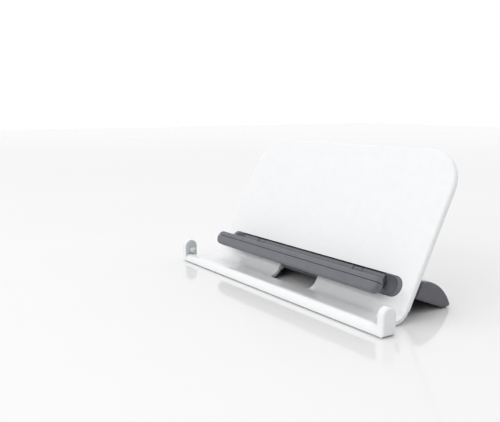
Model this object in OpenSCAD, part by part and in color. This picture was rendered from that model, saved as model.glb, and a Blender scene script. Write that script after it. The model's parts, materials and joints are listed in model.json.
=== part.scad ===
// Desk stand for a tablet that also clips to a slim keyboard.
// A white moulded back panel bends forward into a trough with a front rail
// and two ears.  Sprung pegs in the ears carry the keyboard.  A fold-up ledge
// holds the tablet, and a fold-up rear foot props the panel.
//
// Axes: +X to the right, +Y to the back, +Z up, desk at Z = 0.
// "Panel frame": x across, y square to the panel towards its back, z up the
// panel, with its zero on the front face at the height of the ledge floor.

/* [Back panel] */
// Angle that the panel leans back from the vertical
recline = 28; // [24:1:32]
// Width of the panel
panel_w = 252.8; // [240:0.2:300]
// Length of the panel above the ledge floor
panel_rise = 118.2; // [90:0.2:150]
// Radius of the panel's top corners
panel_corner_r = 32; // [20:1:45]
// Thickness of the panel over both skins
panel_t = 5; // [4.6:0.1:6]
// Thickness of the front skin
skin_t = 2.4; // [2:0.1:2.6]
// Thickness of the rear cover
cover_t = 1.8; // [1.4:0.1:2]
// Width of the solid edge round the rear cover
edge_w = 3.7; // [3:0.1:5]

/* [Trough and rail] */
// Height of the ledge floor above the desk
ledge_h = 18.3; // [17:0.1:24]
// Distance from the front of the rail back to the panel at ledge height
trough_depth = 42.3; // [40:0.1:60]
// Wall of the bend and the trough
wall_t = 2.6; // [2:0.1:3]
// Inside radius of the bend
bend_r = 12; // [9:0.5:14]
// Height of the rubber feet below the trough
feet_proud = 0.8; // [0.5:0.1:1.5]
// Radius of the rounded front of the rail
rail_r = 6.2; // [5:0.1:8]
// Width of the flat top of the rail
rail_top_w = 1.8; // [1:0.1:4]
// Width of the cable cut-out in the bend
cable_w = 52; // [36:1:70]

/* [Ears and pegs] */
// Width over the outside of the ears
ear_span = 279.4; // [268:0.2:330]
// Thickness of an ear
ear_t = 6; // [5.6:0.1:8]
// Front to back size of an ear
ear_d = 13; // [12:0.5:18]
// Height of an ear above the desk
ear_h = 20.8; // [19:0.1:26]
// Height of the peg axis above the desk
peg_h = 11; // [9.5:0.1:13]
// Radius of a peg
peg_r = 2.7; // [2.2:0.05:3.2]
// Straight length of a peg in front of its cap
peg_len = 4; // [3:0.1:6]
// Travel of a peg into its ear
peg_travel = 2.9; // [2:0.1:3]

/* [Ledge] */
// Half length of the capsule opening in the front skin
slot_half = 115; // [100:0.5:118]
// Radius of the round ends of the capsule opening
slot_r = 8.35; // [8:0.05:9.5]
// Height of the capsule's centre above the ledge floor
slot_rise = 4.55; // [4:0.05:5.5]
// Length of the ledge's lip
lip_len = 220; // [190:1:226]
// Height of the lip
lip_h = 12.9; // [11:0.1:13.5]
// Thickness of the lip
lip_t = 7; // [5:0.1:8]
// Clear depth between the panel and the lip
channel_d = 13.6; // [11:0.1:16]
// Thickness of the ledge floor, pad included
floor_t = 3.45; // [3:0.05:3.8]
// Radius of the barrel that the ledge turns on
ledge_barrel_r = 3.2; // [3:0.05:3.6]
// Radius of the ledge's hinge pins
ledge_pin_r = 1.25; // [1:0.05:1.4]
// Width of the connector slot in the ledge floor
port_w = 32; // [20:1:50]

/* [Foot] */
// Width of the rear foot
foot_w = 238; // [200:1:240]
// Distance from the front of the rail back to the tip of the foot
foot_reach = 96.4; // [90:0.1:110]
// Height of the arch of the foot's top over a straight line
foot_arch = 5.2; // [3:0.1:6]
// Wall of the foot's top shell
foot_wall = 2.4; // [2:0.1:3]
// Radius of the foot's rear corners
foot_corner_r = 3; // [2.6:0.1:8]
// Radius of the barrel that the foot turns on
foot_barrel_r = 3.6; // [3.2:0.05:4]
// Radius of the foot's hinge pins
foot_pin_r = 1.5; // [1.2:0.05:1.8]

/* [Hidden] */
$fn = 64;

// Clearances: between moving pieces, between seated pieces, and in a hinge
move_gap = 0.35;
seat_gap = 0.15;
pin_gap = 0.05;
// A cut runs this far past the faces that it opens
over = 1;

sin_r = sin(recline);
cos_r = cos(recline);

// The panel's edge is a full round, so the panel leans on this radius
edge_r = panel_t / 2;
total_depth = trough_depth + edge_r * cos_r + (panel_rise - edge_r) * sin_r + edge_r;
front_y = -total_depth / 2;
ledge_y = front_y + trough_depth;

// Trough
shell_z = feet_proud;
trough_z = shell_z + wall_t;
rail_w = rail_r + rail_top_w;
bend_v = (trough_z + bend_r - ledge_h - bend_r * sin_r) / cos_r;
panel_half = panel_w / 2;
corner_x = panel_half - panel_corner_r;
corner_v = panel_rise - panel_corner_r;
cover_v0 = bend_v + 0.6;
// Rubber strips under the trough, on each side: [x0, x1, y0]
feet_at = [[40, ear_span / 2 - 14, front_y + 2.4], [34, panel_half - 8, ledge_y - 21]];
feet_d = 5;
feet_sink = 0.8;

// Ears and pegs: each peg is a cup with a flange, and its spring sits inside
ear_x = ear_span / 2;
ear_inner = ear_x - ear_t;
ear_y = front_y + 0.5 + ear_d / 2;
plan_fillet = ear_x - panel_half;
cap_sink = 0.8;
cap_proud = 1.2;
cap_margin = 1;
cap_foot_z = shell_z + rail_r + 0.2;
cap_face = ear_inner - cap_proud;
pocket_r = 4.5;
flange_r = 4.2;
flange_t = 0.8;
flange_x = ear_inner + cap_sink + pin_gap;
pocket_end = flange_x + flange_t + peg_travel + 0.25;
peg_dome_x = cap_face - peg_len;
peg_bore_r = peg_r - 0.8;
peg_bore_end = peg_dome_x + 0.8;
spring_wire_r = 0.22;
spring_r = peg_bore_r - spring_wire_r - 0.2;
spring_turns = 7;

// Capsule opening and the cup behind it
slot_cx = slot_half - slot_r;
cup_wall = 1.6;
cup_flange = 3.4;
cup_flange_t = panel_t - cover_t - skin_t - 0.1;
cup_depth = 2 * ledge_barrel_r + 0.8;
cup_back = cup_depth + cup_wall;
shelf_back = panel_t - 0.1;
shelf_v = slot_rise - 1.6;
pocket_half = slot_cx - 11.3;
dish_cx = slot_cx - 3.6;
dish_r = 8.8;
dish_depth = 4.2;
bracket_rim = 3.85;

// Ledge: a lip, a floor and a back plate that closes the capsule opening
ledge_axis_n = ledge_barrel_r;
ledge_axis_v = slot_rise + slot_r - move_gap - ledge_barrel_r;
plate_t = 3.6;
plate_half = pocket_half - move_gap;
plate_foot_v = slot_rise - slot_r + move_gap;
lip_n0 = -channel_d - lip_t;
lip_r = lip_h / 2;
lip_cx = lip_len / 2 - lip_r;
lip_top_v = ledge_axis_v - ledge_axis_n - 0.45;
lip_v = lip_top_v - lip_r;
seam_v = lip_v + 1.75;
seam_gap = 0.5;
tongue_t = 2.6;
pad_t = 0.9;
port_margin = 1.3;
ledge_lug_x = 66;
ledge_lug_w = 10;
ledge_pin_len = 30;
leaf_x = 30;
leaf_w = 8;
leaf_t = 0.4;
stop_x = [15, 88];
stop_w = 5;

// Foot: barrel axis in the panel frame, sole on the desk
foot_axis_n = panel_t + 12.6;
foot_axis_v = slot_rise + 8.85;
foot_front_n = foot_axis_n - foot_barrel_r;
bracket_back_n = foot_front_n - 0.4;
foot_root_v = slot_rise - 2.75;
sole_z = 0.6;
sole_len = 7.4;
tip_y = front_y + foot_reach;
tip_z = 2.4;
base_t = foot_wall + 0.2;
foot_pad_t = 1.6;
foot_lug_x = 84;
foot_lug_w = 10;
washer_t = 0.5;
washer_r = 3.2;
notch_w = foot_lug_w + 2 * washer_t + 0.6;
foot_pin_len = 26;
foot_screw_x = [34, 102];

// Foot outline: points in the stand's frame as [y, z]
foot_axis = on_yz(foot_axis_n, foot_axis_v);
foot_root = on_yz(foot_front_n, foot_root_v);
sole_front = [tip_y - 1 - sole_len, sole_z];
foot_tip = [tip_y, tip_z];
barrel_top = on_yz(foot_axis_n, foot_axis_v + foot_barrel_r);
foot_outline = concat(
    [foot_root, sole_front, [tip_y - 1, sole_z]],
    arch(foot_tip, barrel_top, foot_arch, 24),
    arc(foot_axis, foot_barrel_r, 90 - recline, 180 - recline, 10)
);

// The foot's straight underside, and where its cover begins and ends along it
belly_len = norm(sole_front - foot_root);
belly_dir = (sole_front - foot_root) / belly_len;
belly_up = [-belly_dir[1], belly_dir[0]];
belly_s0 = foot_wall + 1;
belly_s1 = belly_len - max(4.5, (foot_corner_r - 0.4 - sole_len + base_t * belly_up[0]) / belly_dir[0]);
screw_s = [9, belly_len - 10];

// Panel screws, in the panel frame
cover_screw_at = [
    [panel_half - 14, 28], [panel_half - 14, panel_rise - 34], [panel_half - 66, panel_rise - 10]
];
bracket_screw_x = [ledge_lug_x, slot_cx + 3];
bracket_screw_v = ledge_axis_v - 1;

// ---------- points and placing ----------

// A point of the panel frame as [y, z] in the stand's frame
function on_yz(n, v) = [ledge_y + n * cos_r + v * sin_r, ledge_h - n * sin_r + v * cos_r];

function arc(c, r, a0, a1, steps) = [
    for (i = [0:steps]) c + r * [cos(a0 + (a1 - a0) * i / steps), sin(a0 + (a1 - a0) * i / steps)]
];

// An arc from p to q that stands s over the straight line, on its right side,
// with its radius drawn in by inset
function arch(p, q, s, steps, inset = 0) =
    let (
        chord = norm(q - p),
        r = (chord * chord / 4 + s * s) / (2 * s),
        along = (q - p) / chord,
        right = [along[1], -along[0]],
        c = (p + q) / 2 + (s - r) * right,
        a0 = atan2(p[1] - c[1], p[0] - c[0]),
        a1 = atan2(q[1] - c[1], q[0] - c[0])
    ) arc(c, r - inset, a0, a1, steps);

module in_panel() {
    translate([0, ledge_y, ledge_h]) rotate([-recline, 0, 0]) children();
}

module both_sides() {
    children();
    mirror([1, 0, 0]) children();
}

// Extrudes a [y, z] outline across x, centred
module across(width) {
    rotate([90, 0, 90]) linear_extrude(width, center = true) children();
}

// Extrudes an [x, z] outline along y from y0 to y1
module along_y(y0, y1) {
    translate([0, y0, 0]) mirror([0, 1, 0]) rotate([90, 0, 0]) linear_extrude(y1 - y0) children();
}

// A cylinder along y from y0 to y1
module rod_y(x, z, r0, r1, y0, y1) {
    translate([x, y0, z]) rotate([-90, 0, 0]) cylinder(h = y1 - y0, r1 = r0, r2 = r1);
}

// A cylinder along x from x0 to x1
module rod_x(y, z, r, x0, x1) {
    translate([x0, y, z]) rotate([0, 90, 0]) cylinder(h = x1 - x0, r = r);
}

module block(x0, x1, y0, y1, z0, z1) {
    translate([x0, y0, z0]) cube([x1 - x0, y1 - y0, z1 - z0]);
}

// A long outline with round ends, centred, with circles of radius r at x = +-cx
module capsule_2d(cx, r) {
    translate([-cx, -r]) square([2 * cx, 2 * r]);
    for (x = [-cx, cx]) translate([x, 0]) circle(r);
}

module slot_capsule(grow, n0, n1) {
    along_y(n0, n1) translate([0, slot_rise]) capsule_2d(slot_cx, slot_r + grow);
}

// A countersunk screw along y with its head at n_head and its point at n_tip
module screw_n(x, v, r, n_head, n_tip, head_r) {
    rod_y(x, v, r, r, n_tip, n_head);
    rod_y(x, v, r, head_r, n_head - (head_r - r), n_head);
}

// ---------- white shell ----------

// The panel's face outline, drawn in by inset, down to v0
module panel_2d(inset, v0) {
    translate([-panel_half + inset, v0]) square([panel_w - 2 * inset, corner_v - v0]);
    translate([-corner_x, v0]) square([2 * corner_x, panel_rise - inset - v0]);
    for (x = [-corner_x, corner_x]) translate([x, corner_v]) circle(panel_corner_r - inset);
}

// The full-round edge that runs up both sides and over the top
module panel_edge() {
    both_sides() {
        translate([panel_half - edge_r, edge_r, bend_v]) cylinder(h = corner_v - bend_v, r = edge_r);
        translate([corner_x, edge_r, corner_v]) rotate([90, 0, 0])
            rotate_extrude(angle = 90) translate([panel_corner_r - edge_r, 0]) circle(edge_r);
    }
    rod_x(edge_r, panel_rise - edge_r, edge_r, -corner_x, corner_x);
}

// Side view of the bend, the trough floor and the rail as one wall
module trough_2d() {
    bend_c = on_yz(-bend_r, bend_v);
    rail_c = [front_y + rail_r, shell_z];
    polygon(concat(
        [on_yz(0, bend_v + over)],
        arc(bend_c, bend_r, -recline, -90, 16),
        [[front_y + rail_w, trough_z], [front_y + rail_w, shell_z + rail_r]],
        arc(rail_c, rail_r, 90, 180, 12),
        arc([bend_c[0], bend_c[1]], bend_r + wall_t, -90, -recline, 16),
        [on_yz(wall_t, bend_v + over)]
    ));
}

// Plan view: as wide as the ears in front, then drawn in to the panel
module trough_plan_2d() {
    back = ear_y + ear_d / 2;
    translate([-ear_x, front_y]) square([2 * ear_x, back - front_y]);
    translate([-panel_half, front_y]) square([panel_w, total_depth]);
    both_sides() difference() {
        translate([panel_half - over, back - over]) square([plan_fillet + over, plan_fillet + over]);
        translate([ear_x, back + plan_fillet]) circle(plan_fillet);
    }
}

// Side view of an ear, drawn in by inset, down to z0
module ear_2d(inset, z0) {
    r = ear_d / 2 - inset;
    top = ear_h - ear_d / 2;
    translate([ear_y - r, z0]) square([2 * r, top - z0]);
    translate([ear_y, top]) circle(r);
}

module ear() {
    translate([ear_inner + ear_t / 2, 0, 0]) across(ear_t) ear_2d(0, shell_z);
}

// The cap's shallow seat in the ear, and the pocket for the peg and its spring
module ear_pocket() {
    translate([ear_inner + cap_sink / 2 - over / 2, 0, 0]) across(cap_sink + over)
        ear_2d(cap_margin - seat_gap, cap_foot_z - seat_gap);
    rod_x(ear_y, peg_h, pocket_r, ear_inner, pocket_end);
}

// Where a cable leaves: through the bend, up to the capsule opening
module cable_cut() {
    corner_r = 5;
    y0 = on_yz(-bend_r, bend_v)[0];
    top_z = on_yz(0, slot_rise - slot_r + over)[1];
    linear_extrude(top_z) {
        translate([-cable_w / 2 + corner_r, y0]) square([cable_w - 2 * corner_r, 40]);
        translate([-cable_w / 2, y0 + corner_r]) square([cable_w, 40]);
        both_sides() translate([cable_w / 2 - corner_r, y0 + corner_r]) circle(corner_r);
    }
}

module front_shell() color("white") difference() {
    union() {
        in_panel() {
            along_y(0, panel_t) panel_2d(edge_r, bend_v);
            panel_edge();
        }
        intersection() {
            across(ear_span) trough_2d();
            linear_extrude(60) trough_plan_2d();
        }
        both_sides() ear();
    }
    in_panel() {
        difference() {
            along_y(skin_t, panel_t + over) panel_2d(edge_w, cover_v0);
            both_sides() for (p = cover_screw_at) rod_y(p[0], p[1], 3, 3, 0, panel_t - cover_t);
        }
        slot_capsule(0, -over, skin_t + over);
        both_sides() for (p = cover_screw_at) rod_y(p[0], p[1], 0.9, 0.9, 1, panel_t);
    }
    both_sides() ear_pocket();
    cable_cut();
    foot_strips(0.05);
}

module rear_cover() color("whitesmoke") difference() {
    in_panel() difference() {
        along_y(panel_t - cover_t, panel_t) panel_2d(edge_w + seat_gap, cover_v0 + seat_gap);
        slot_capsule(cup_wall + seat_gap, 0, panel_t + over);
        both_sides() for (p = cover_screw_at) {
            rod_y(p[0], p[1], 1, 1, 0, panel_t);
            rod_y(p[0], p[1], 1, 2.1, panel_t - 1.1, panel_t);
        }
    }
    cable_cut();
}

module cover_screws() color("silver") in_panel() both_sides()
    for (p = cover_screw_at) screw_n(p[0], p[1], 0.88, panel_t - 0.05, 1.1, 1.9);

module foot_strips(grow) {
    both_sides() for (f = feet_at)
        block(f[0] - grow, f[1] + grow, f[2] - grow, f[2] + feet_d + grow, 0, shell_z + feet_sink);
}

module front_feet() color("dimgray") foot_strips(0);

// ---------- ears, pegs and springs ----------

module ear_cap() color("lightgray") difference() {
    translate([(cap_face + ear_inner + cap_sink) / 2, 0, 0]) across(cap_proud + cap_sink)
        ear_2d(cap_margin, cap_foot_z);
    rod_x(ear_y, peg_h, peg_r + pin_gap, cap_face - over, ear_inner + cap_sink + over);
}

module peg() color("white") difference() {
    union() {
        rod_x(ear_y, peg_h, peg_r, peg_dome_x, flange_x + flange_t);
        rod_x(ear_y, peg_h, flange_r, flange_x, flange_x + flange_t);
        translate([peg_dome_x, ear_y, peg_h]) sphere(peg_r);
    }
    rod_x(ear_y, peg_h, peg_bore_r, peg_bore_end, flange_x + flange_t + over);
}

// A coil spring along x, drawn as one swept wire
module peg_spring() {
    sides = 8;
    rings = spring_turns * 14;
    x0 = peg_bore_end + spring_wire_r + 0.05;
    x1 = pocket_end - spring_wire_r - 0.05;
    points = [
        for (i = [0:rings]) let (a = 360 * spring_turns * i / rings, x = x0 + (x1 - x0) * i / rings)
            for (j = [0:sides - 1]) let (b = 360 * j / sides, r = spring_r + spring_wire_r * cos(b))
                [x + spring_wire_r * sin(b), ear_y + r * cos(a), peg_h + r * sin(a)]
    ];
    skin = [
        for (i = [0:rings - 1], j = [0:sides - 1]) let (k = (j + 1) % sides)
            [i * sides + j, (i + 1) * sides + j, (i + 1) * sides + k, i * sides + k]
    ];
    ends = [
        [for (j = [0:sides - 1]) j],
        [for (j = [0:sides - 1]) rings * sides + sides - 1 - j]
    ];
    color("silver") polyhedron(points, concat(skin, ends));
}

module right_ear_cap() ear_cap();
module left_ear_cap() mirror([1, 0, 0]) ear_cap();
module right_peg() peg();
module left_peg() mirror([1, 0, 0]) peg();
module right_peg_spring() peg_spring();
module left_peg_spring() mirror([1, 0, 0]) peg_spring();

// ---------- cup and bracket that hold both hinges ----------

module hinge_cup() color("dimgray") in_panel() {
    difference() {
        union() {
            slot_capsule(-seat_gap, 0, skin_t + seat_gap);
            slot_capsule(cup_flange, skin_t + 0.05, skin_t + 0.05 + cup_flange_t);
            intersection() {
                slot_capsule(cup_wall, skin_t + 0.05, cup_back);
                union() {
                    block(-slot_half * 2, slot_half * 2, 0, cup_back, shelf_v, slot_rise * 6);
                    block(-slot_half * 2, slot_half * 2, 0, shelf_back, -slot_r * 3, shelf_v);
                }
            }
        }
        block(-pocket_half, pocket_half, -over, cup_depth, shelf_v + cup_wall, slot_rise + slot_r);
        block(-pocket_half, pocket_half, -over, shelf_back - 1, slot_rise - slot_r, shelf_v + 2 * cup_wall);
        both_sides() {
            translate([dish_cx, dish_depth - dish_r, slot_rise]) sphere(dish_r);
            for (x = bracket_screw_x) rod_y(x, bracket_screw_v, 1.1, 1.1, 4.9, cup_back + over);
        }
    }
    both_sides() {
        for (x = stop_x) block(x, x + stop_w, plate_t + move_gap, cup_depth + 0.2,
            shelf_v + cup_wall - 0.2, ledge_axis_v - ledge_barrel_r - move_gap);
        difference() {
            union() {
                rod_x(ledge_axis_n, ledge_axis_v, ledge_barrel_r - 0.2,
                    ledge_lug_x - ledge_lug_w / 2, ledge_lug_x + ledge_lug_w / 2);
                block(ledge_lug_x - ledge_lug_w / 2, ledge_lug_x + ledge_lug_w / 2, ledge_axis_n,
                    cup_depth + 0.2, ledge_axis_v - ledge_barrel_r + 0.2, ledge_axis_v + ledge_barrel_r - 0.2);
            }
            rod_x(ledge_axis_n, ledge_axis_v, ledge_pin_r + pin_gap, ledge_lug_x - 10, ledge_lug_x + 10);
            rod_y(ledge_lug_x, bracket_screw_v, 1.1, 1.1, 4.9, cup_back);
        }
    }
}

// Side view of the bracket in the panel frame
module bracket_2d() {
    top = slot_rise + slot_r + bracket_rim;
    bottom = slot_rise - slot_r - bracket_rim;
    polygon([
        [panel_t, bottom], [panel_t + 1.6, bottom], [cup_back + 1, foot_root_v - 1.4],
        [bracket_back_n, foot_root_v], [bracket_back_n, foot_axis_v - 1.4],
        [bracket_back_n - 1.8, top], [panel_t, top]
    ]);
}

module hinge_bracket() color("dimgray") in_panel() difference() {
    union() {
        intersection() {
            across(4 * slot_half) bracket_2d();
            slot_capsule(bracket_rim, 0, bracket_back_n + over);
        }
        both_sides() {
            rod_x(foot_axis_n, foot_axis_v, foot_barrel_r - 0.3,
                foot_lug_x - foot_lug_w / 2, foot_lug_x + foot_lug_w / 2);
            block(foot_lug_x - foot_lug_w / 2, foot_lug_x + foot_lug_w / 2, bracket_back_n - 2, foot_axis_n,
                foot_axis_v - foot_barrel_r + 0.3, foot_axis_v + foot_barrel_r - 0.3);
        }
    }
    intersection() {
        slot_capsule(cup_wall + seat_gap, 0, cup_back + seat_gap);
        block(-slot_half * 2, slot_half * 2, 0, cup_back + seat_gap, shelf_v - seat_gap, slot_rise * 6);
    }
    both_sides() {
        rod_x(foot_axis_n, foot_axis_v, foot_pin_r + pin_gap, foot_lug_x - 10, foot_lug_x + 10);
        for (x = bracket_screw_x) {
            rod_y(x, bracket_screw_v, 1.2, 1.2, 0, bracket_back_n + over);
            rod_y(x, bracket_screw_v, 1.2, 2.5, bracket_back_n - 1.3, bracket_back_n);
        }
    }
}

module bracket_screws() color("silver") in_panel() both_sides()
    for (x = bracket_screw_x) screw_n(x, bracket_screw_v, 1.08, bracket_back_n - 0.05, 5.1, 2.3);

// Flat springs that rub on the ledge's barrel and hold it where it is left
module ledge_leaf_springs() color("silver") in_panel() both_sides() {
    n0 = ledge_axis_n + ledge_barrel_r + 0.1;
    block(leaf_x - leaf_w / 2, leaf_x + leaf_w / 2, n0, n0 + leaf_t, ledge_axis_v - 3.6, ledge_axis_v + 2);
    block(leaf_x - leaf_w / 2, leaf_x + leaf_w / 2, n0, cup_depth, ledge_axis_v - 4.2, ledge_axis_v - 3.2);
}

// ---------- ledge ----------

module lip_capsule(n0, n1) {
    along_y(n0, n1) translate([0, lip_v]) capsule_2d(lip_cx, lip_r);
}

module ledge_notch(grow) {
    w = ledge_lug_w + 2 * grow;
    r = ledge_barrel_r - 0.2 + move_gap;
    both_sides() block(ledge_lug_x - w / 2, ledge_lug_x + w / 2, -over, 2 * cup_depth,
        ledge_axis_v - r, ledge_axis_v + 2 * r);
}

// The floor's ends are scooped so that a finger can lift the ledge
module ledge_floor() {
    difference() {
        block(-slot_cx, slot_cx, -channel_d - over, plate_t, plate_foot_v, plate_foot_v + floor_t - 0.4);
        both_sides() {
            translate([slot_cx + 4.4, -channel_d / 2, -50]) cylinder(h = 100, r = 8.2);
            block(plate_half, 2 * slot_cx, -channel_d / 4, plate_t + over, -50, 50);
        }
    }
}

module port_cut(grow) {
    block(-port_w / 2 - grow, port_w / 2 + grow, -channel_d + port_margin - grow, -port_margin + grow, -50, 50);
}

module ledge_body() color("gray") in_panel() difference() {
    union() {
        intersection() {
            lip_capsule(lip_n0, -channel_d);
            block(-lip_len, lip_len, -50, 0, -50, seam_v);
        }
        block(-lip_cx, lip_cx, lip_n0 + lip_t / 2 - tongue_t / 2, lip_n0 + lip_t / 2 + tongue_t / 2,
            seam_v - 1, lip_top_v - 1.6);
        ledge_floor();
        block(-plate_half, plate_half, 0, plate_t, plate_foot_v, ledge_axis_v);
        rod_x(ledge_axis_n, ledge_axis_v, ledge_barrel_r, -plate_half, plate_half);
    }
    ledge_notch(move_gap);
    both_sides() rod_x(ledge_axis_n, ledge_axis_v, ledge_pin_r,
        ledge_lug_x - ledge_pin_len / 2, ledge_lug_x + ledge_pin_len / 2);
    pad_block(seat_gap);
    port_cut(0);
}

// A soft cap over the upper half of the lip, seated on its tongue
module lip_cap() color("darkgray") in_panel() difference() {
    intersection() {
        lip_capsule(lip_n0, -channel_d);
        block(-lip_len, lip_len, -50, 0, seam_v + seam_gap, 50);
    }
    block(-lip_cx - seat_gap, lip_cx + seat_gap, lip_n0 + lip_t / 2 - tongue_t / 2 - seat_gap,
        lip_n0 + lip_t / 2 + tongue_t / 2 + seat_gap, -50, lip_top_v - 1.6 + seat_gap);
}

module pad_block(grow) {
    top = plate_foot_v + floor_t;
    block(-pocket_half + 6 - grow, pocket_half - 6 + grow, -channel_d + 0.8 - grow, -0.8 + grow,
        top - pad_t - (grow > 0 ? 0.02 : 0), top + (grow > 0 ? 5 : 0));
}

module ledge_pad() color("dimgray") in_panel() difference() {
    pad_block(0);
    port_cut(0.4);
}

module ledge_hinge_pins() color("silver") in_panel() both_sides()
    rod_x(ledge_axis_n, ledge_axis_v, ledge_pin_r,
        ledge_lug_x - ledge_pin_len / 2 + 0.2, ledge_lug_x + ledge_pin_len / 2 - 0.2);

// ---------- rear foot ----------

// A quadrilateral on the foot's underside, from s0 to s1 along it, h0 to h1 into it
module belly_2d(s0, s1, h0, h1) {
    function at(s, h) = foot_root + s * belly_dir + h * belly_up;
    polygon([at(s0, h0), at(s1, h0), at(s1, h1), at(s0, h1)]);
}

// The hollow under the arch, between the walls
module foot_hollow() {
    intersection() {
        across(foot_w) polygon(concat([[front_y, -total_depth]], arch(foot_tip, barrel_top, foot_arch, 24, foot_wall)));
        across(foot_w) belly_2d(0, 2 * foot_w, foot_wall, foot_w);
        linear_extrude(80) foot_plan_2d(foot_wall);
        block(-foot_w, foot_w, -total_depth, total_depth, sole_z + foot_wall, total_depth);
        in_panel() block(-foot_w, foot_w, foot_axis_n + foot_barrel_r + 2, 200, -100, 200);
    }
}

module foot_plan_2d(inset) {
    half = foot_w / 2 - inset;
    c = [foot_w / 2 - foot_corner_r, tip_y - foot_corner_r];
    polygon(concat(
        [[-half, -total_depth], [half, -total_depth]],
        arc(c, foot_corner_r - inset, 0, 90, 12),
        arc([-c[0], c[1]], foot_corner_r - inset, 90, 180, 12)
    ));
}

module belly_rod(x, s, r0, r1, h0, h1) {
    p = foot_root + s * belly_dir + h0 * belly_up;
    translate([x, p[0], p[1]]) rotate([atan2(-belly_up[0], belly_up[1]), 0, 0]) cylinder(h = h1 - h0, r1 = r0, r2 = r1);
}

module foot_notch() {
    r = foot_barrel_r - 0.3 + move_gap;
    in_panel() both_sides() block(foot_lug_x - notch_w / 2, foot_lug_x + notch_w / 2,
        -over, foot_axis_n + r, foot_axis_v - r, foot_axis_v + 4 * r);
}

module foot_top() color("dimgray") difference() {
    intersection() {
        across(foot_w) polygon(foot_outline);
        linear_extrude(80) foot_plan_2d(0);
    }
    difference() {
        foot_hollow();
        both_sides() for (x = foot_screw_x, s = screw_s) belly_rod(x, s, 2.9, 2.9, 0, 40);
    }
    across(foot_w - 2 * foot_wall) belly_2d(belly_s0, belly_s1, -over, base_t);
    foot_notch();
    in_panel() both_sides() rod_x(foot_axis_n, foot_axis_v, foot_pin_r,
        foot_lug_x - foot_pin_len / 2, foot_lug_x + foot_pin_len / 2);
    both_sides() for (x = foot_screw_x, s = screw_s) belly_rod(x, s, 0.95, 0.95, 0, 7);
    foot_pad_block(0.05);
}

module foot_base() color("dimgray") difference() {
    across(foot_w - 2 * foot_wall - 2 * seat_gap)
        belly_2d(belly_s0 + seat_gap, belly_s1 - seat_gap, 0, base_t - 0.05);
    both_sides() for (x = foot_screw_x, s = screw_s) {
        belly_rod(x, s, 1.1, 1.1, -over, base_t + over);
        belly_rod(x, s, 2.3, 2.3, -over, 1.2);
    }
}

module foot_screws() color("silver") both_sides() for (x = foot_screw_x, s = screw_s) {
    belly_rod(x, s, 0.93, 0.93, 0.05, 6.5);
    belly_rod(x, s, 2.05, 2.05, 0.05, 1.17);
}

module foot_pad_block(grow) {
    x = foot_w / 2 - max(foot_corner_r, foot_wall) + 1;
    block(-x - grow, x + grow, sole_front[0] + 0.9 - grow, tip_y - 1.9 + grow, 0, foot_pad_t + (grow > 0 ? 0.02 : 0));
}

module foot_pad() color("black") foot_pad_block(0);

module foot_hinge_pins() color("silver") in_panel() both_sides()
    rod_x(foot_axis_n, foot_axis_v, foot_pin_r,
        foot_lug_x - foot_pin_len / 2 + 0.2, foot_lug_x + foot_pin_len / 2 - 0.2);

// Spring washers squeezed between each lug and the foot, which hold its angle
module foot_friction_washers() color("silver") in_panel() both_sides() for (s = [-1, 1]) {
    x = foot_lug_x + s * (notch_w / 2 - 0.1 - washer_t / 2);
    difference() {
        rod_x(foot_axis_n, foot_axis_v, washer_r, x - washer_t / 2, x + washer_t / 2);
        rod_x(foot_axis_n, foot_axis_v, foot_pin_r + 0.02, x - washer_t, x + washer_t);
    }
}

// ---------- one line for each piece ----------

front_shell();
rear_cover();
cover_screws();
front_feet();
hinge_cup();
hinge_bracket();
bracket_screws();
ledge_leaf_springs();
left_ear_cap();
right_ear_cap();
left_peg_spring();
right_peg_spring();
left_peg();
right_peg();
ledge_body();
lip_cap();
ledge_pad();
ledge_hinge_pins();
foot_top();
foot_base();
foot_pad();
foot_screws();
foot_hinge_pins();
foot_friction_washers();
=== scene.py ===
# %% [markdown]
# # A desk stand for a tablet
# A white moulded panel leans back and bends forward into a trough with two
# ears.  A grey ledge stands in a capsule-shaped opening and holds the tablet,
# and a dark foot props the panel from behind.  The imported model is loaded
# first: it fixes every size, and each new piece is built around it.

import json
import math

import bpy
from mathutils import Matrix, Vector

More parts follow.
